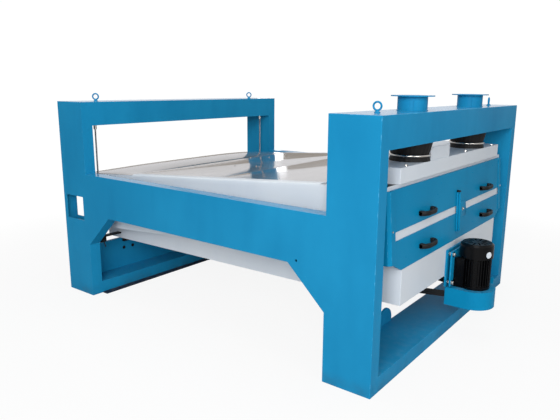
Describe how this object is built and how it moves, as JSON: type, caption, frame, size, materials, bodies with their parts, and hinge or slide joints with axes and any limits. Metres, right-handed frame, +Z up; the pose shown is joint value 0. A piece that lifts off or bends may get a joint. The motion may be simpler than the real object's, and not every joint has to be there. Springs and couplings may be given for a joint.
{
  "type": "planar rotary screen",
  "caption": "Sieving machine: a sloping sheet-metal screen box hung on wire ropes in a blue portal frame, with flanged inlets, front covers and a belt-drive motor.",
  "frame": {"origin": "on the floor, at the middle of the whole machine's outline from the discharge-end frame to the belt guard", "axes": "+X along the machine from the discharge end to the inlet and drive end, +Y across it away from the windowed near side, +Z up"},
  "size_m": [2.782, 2.1, 1.45],
  "materials": {
    "frame_paint": "semi-gloss enamel",
    "foot_steel": "dark primer",
    "black_rubber": "matt",
    "bright_steel": "bright",
    "rope_wire": "stranded",
    "black_iron": "matt",
    "box_paint": "satin enamel",
    "cover_gloss": "high gloss",
    "cover_paint": "semi-gloss enamel",
    "handle_plastic": "matt",
    "motor_paint": "satin black",
    "gland_brass": "plain",
    "belt_rubber": "matt",
    "wheel_iron": "as cast and turned"
  },
  "bodies": {
    "root": {"near_side_panel": "frame_paint", "far_side_panel": "frame_paint", "near_side_beam": "frame_paint", "far_side_beam": "frame_paint", "tail_near_post": "frame_paint", "tail_far_post": "frame_paint", "head_near_post": "frame_paint", "head_far_post": "frame_paint", "tail_top_beam": "frame_paint", "head_top_beam": "frame_paint", "tail_cross_beam": "frame_paint", "head_cross_beam": "frame_paint", "tail_closing_sheet": "frame_paint", "beam_stop_lug": "frame_paint", "near_inlet_spout": "frame_paint", "far_inlet_spout": "frame_paint", "lifting_eyes": "frame_paint", "post_foot_plates": "foot_steel", "tail_anchor_strip": "foot_steel", "head_anchor_strip": "foot_steel", "rubber_stops": "black_rubber", "near_inlet_sleeve": "black_rubber", "far_inlet_sleeve": "black_rubber", "sleeve_hoops": "bright_steel", "tension_studs": "bright_steel", "rope_sockets": "bright_steel", "hanging_ropes": "rope_wire", "rope_clamps": "black_iron", "clamp_knob": "black_iron", "screen_box": "box_paint", "inlet_housing": "box_paint", "front_band": "box_paint", "collecting_tray": "box_paint", "box_rim_strips": "box_paint", "top_cover": "cover_gloss", "tail_hood": "cover_gloss", "inlet_divider_plate": "cover_gloss", "upper_front_cover": "cover_paint", "lower_front_cover": "cover_paint", "front_corner_angles": "cover_paint", "centre_clamp": "cover_paint", "motor_mount_plate": "cover_paint", "motor_slide_plate": "cover_paint", "belt_guard": "cover_paint", "cover_handles": "handle_plastic", "motor_body": "motor_paint", "motor_fan_cowl": "motor_paint", "terminal_case": "motor_paint", "terminal_gland": "gland_brass", "drive_belts": "belt_rubber", "motor_pulley": "wheel_iron", "eccentric_wheel": "wheel_iron", "wheel_spindle": "wheel_iron"}
  },
  "joints": []
}
